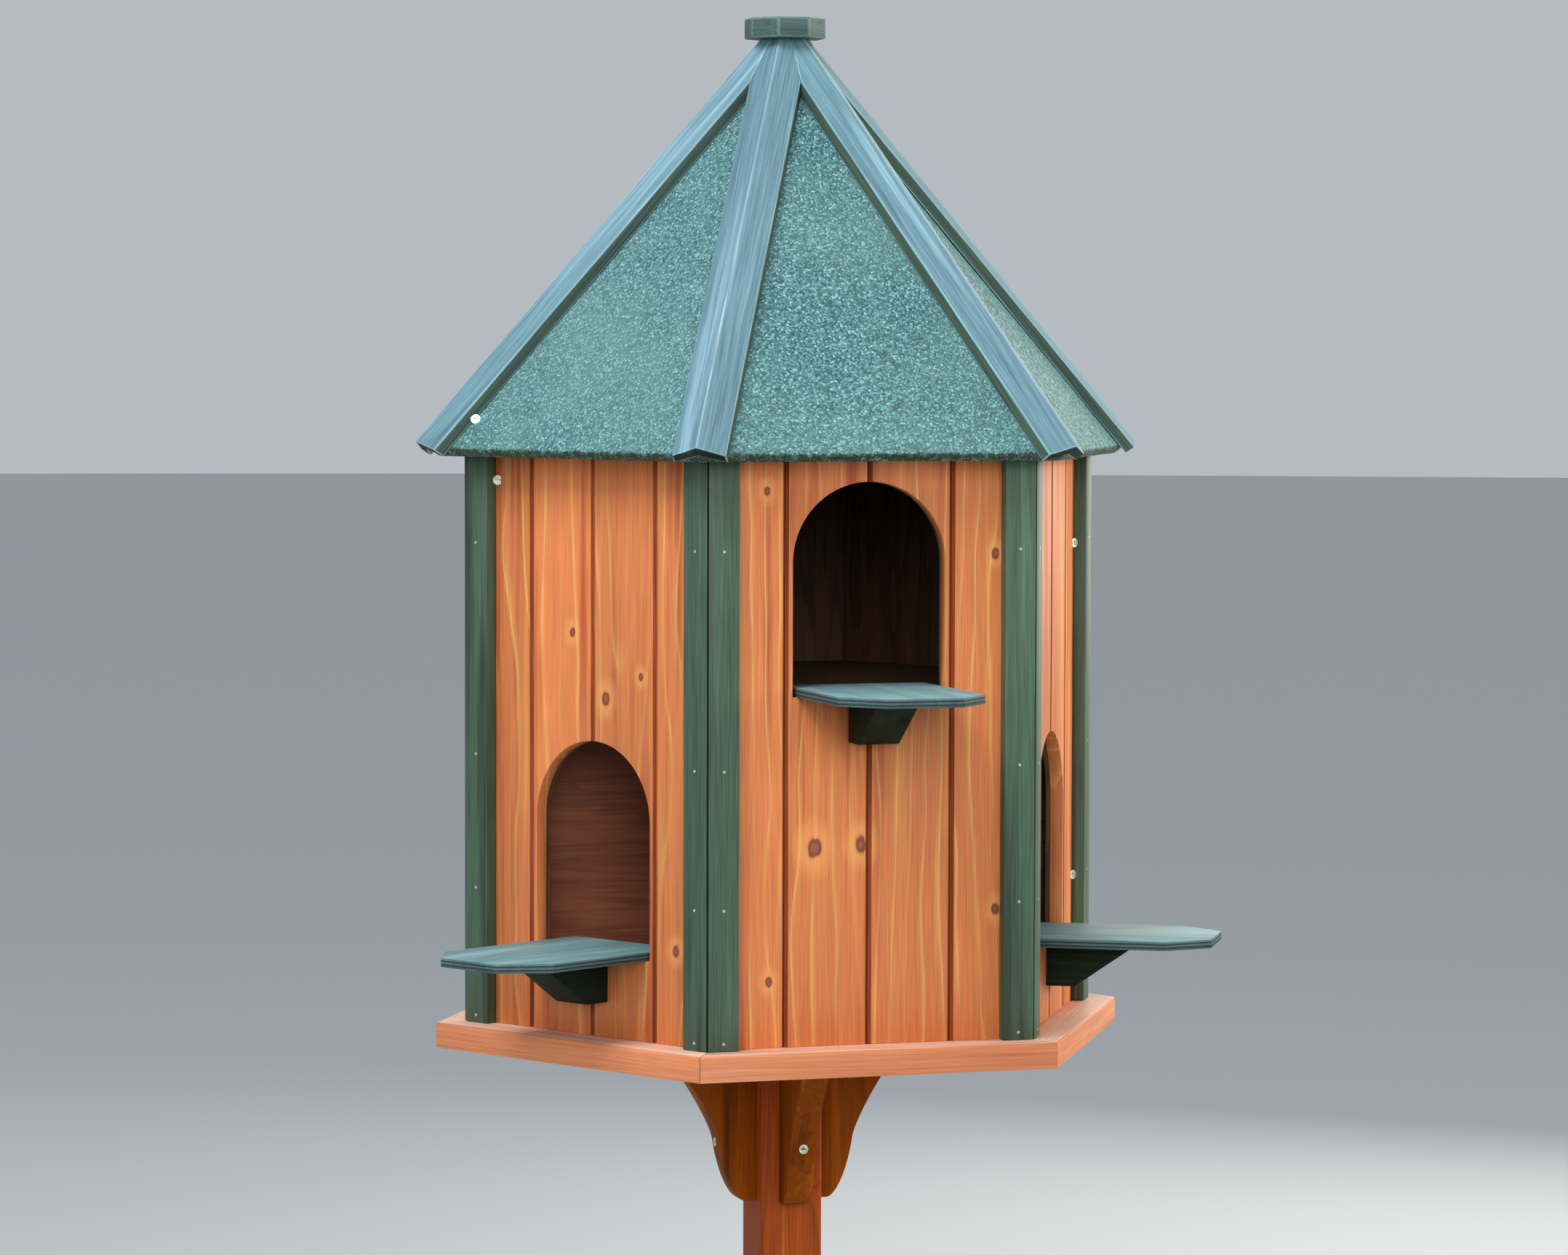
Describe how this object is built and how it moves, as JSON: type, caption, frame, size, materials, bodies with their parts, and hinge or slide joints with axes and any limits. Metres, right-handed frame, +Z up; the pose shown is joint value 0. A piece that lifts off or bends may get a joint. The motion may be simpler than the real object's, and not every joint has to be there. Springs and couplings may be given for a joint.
{
  "type": "dovecote on post",
  "caption": "Hexagonal timber bird house with arched doorways, plywood landings and a green felt roof, on a square ground post.",
  "frame": {"origin": "on the post's axis at ground level", "axes": "+Z up along the post, -Y out through the middle of the face with the upper doorway"},
  "size_m": [0.7264, 0.7006, 2.4263],
  "materials": {
    "post_wood": "orange-brown stained softwood",
    "tray_wood": "pinkish orange stained softwood",
    "wall_wood": "orange stained matched boards",
    "inside_wood": "brown plywood",
    "strip_wood": "dark green stain",
    "landing_ply": "blue-green stained plywood",
    "support_wood": "very dark green stain",
    "roof_board": "plywood under felt",
    "roof_felt": "green mineral roofing felt",
    "batten_wood": "weathered blue-green stain",
    "steel_pins": "bright pin heads",
    "screw_metal": "yellow passivated steel"
  },
  "bodies": {
    "root": {"ground_post": "post_wood", "post_bracket_front": "post_wood", "post_bracket_right": "post_wood", "post_bracket_back": "post_wood", "post_bracket_left": "post_wood", "tray_base": "tray_wood", "tray_rim_1": "tray_wood", "tray_rim_2": "tray_wood", "tray_rim_3": "tray_wood", "tray_rim_4": "tray_wood", "tray_rim_5": "tray_wood", "tray_rim_6": "tray_wood", "wall_1": "wall_wood", "wall_2": "wall_wood", "wall_3": "wall_wood", "wall_4": "wall_wood", "wall_5": "wall_wood", "wall_6": "wall_wood", "wall_linings": "inside_wood", "corner_strips_1": "strip_wood", "corner_strips_2": "strip_wood", "corner_strips_3": "strip_wood", "corner_strips_4": "strip_wood", "corner_strips_5": "strip_wood", "corner_strips_6": "strip_wood", "landing_left": "landing_ply", "landing_front": "landing_ply", "landing_right": "landing_ply", "landing_support_left": "support_wood", "landing_support_front": "support_wood", "landing_support_right": "support_wood", "loft_floor": "inside_wood", "lower_back_panel": "inside_wood", "lower_divider": "inside_wood", "roof_panel_1": "roof_board", "roof_panel_2": "roof_board", "roof_panel_3": "roof_board", "roof_panel_4": "roof_board", "roof_panel_5": "roof_board", "roof_panel_6": "roof_board", "roof_felt": "roof_felt", "ridge_batten_1": "batten_wood", "ridge_batten_2": "batten_wood", "ridge_batten_3": "batten_wood", "ridge_batten_4": "batten_wood", "ridge_batten_5": "batten_wood", "ridge_batten_6": "batten_wood", "roof_cap": "batten_wood", "strip_pins": "steel_pins", "fixing_screws": "screw_metal"}
  },
  "joints": []
}
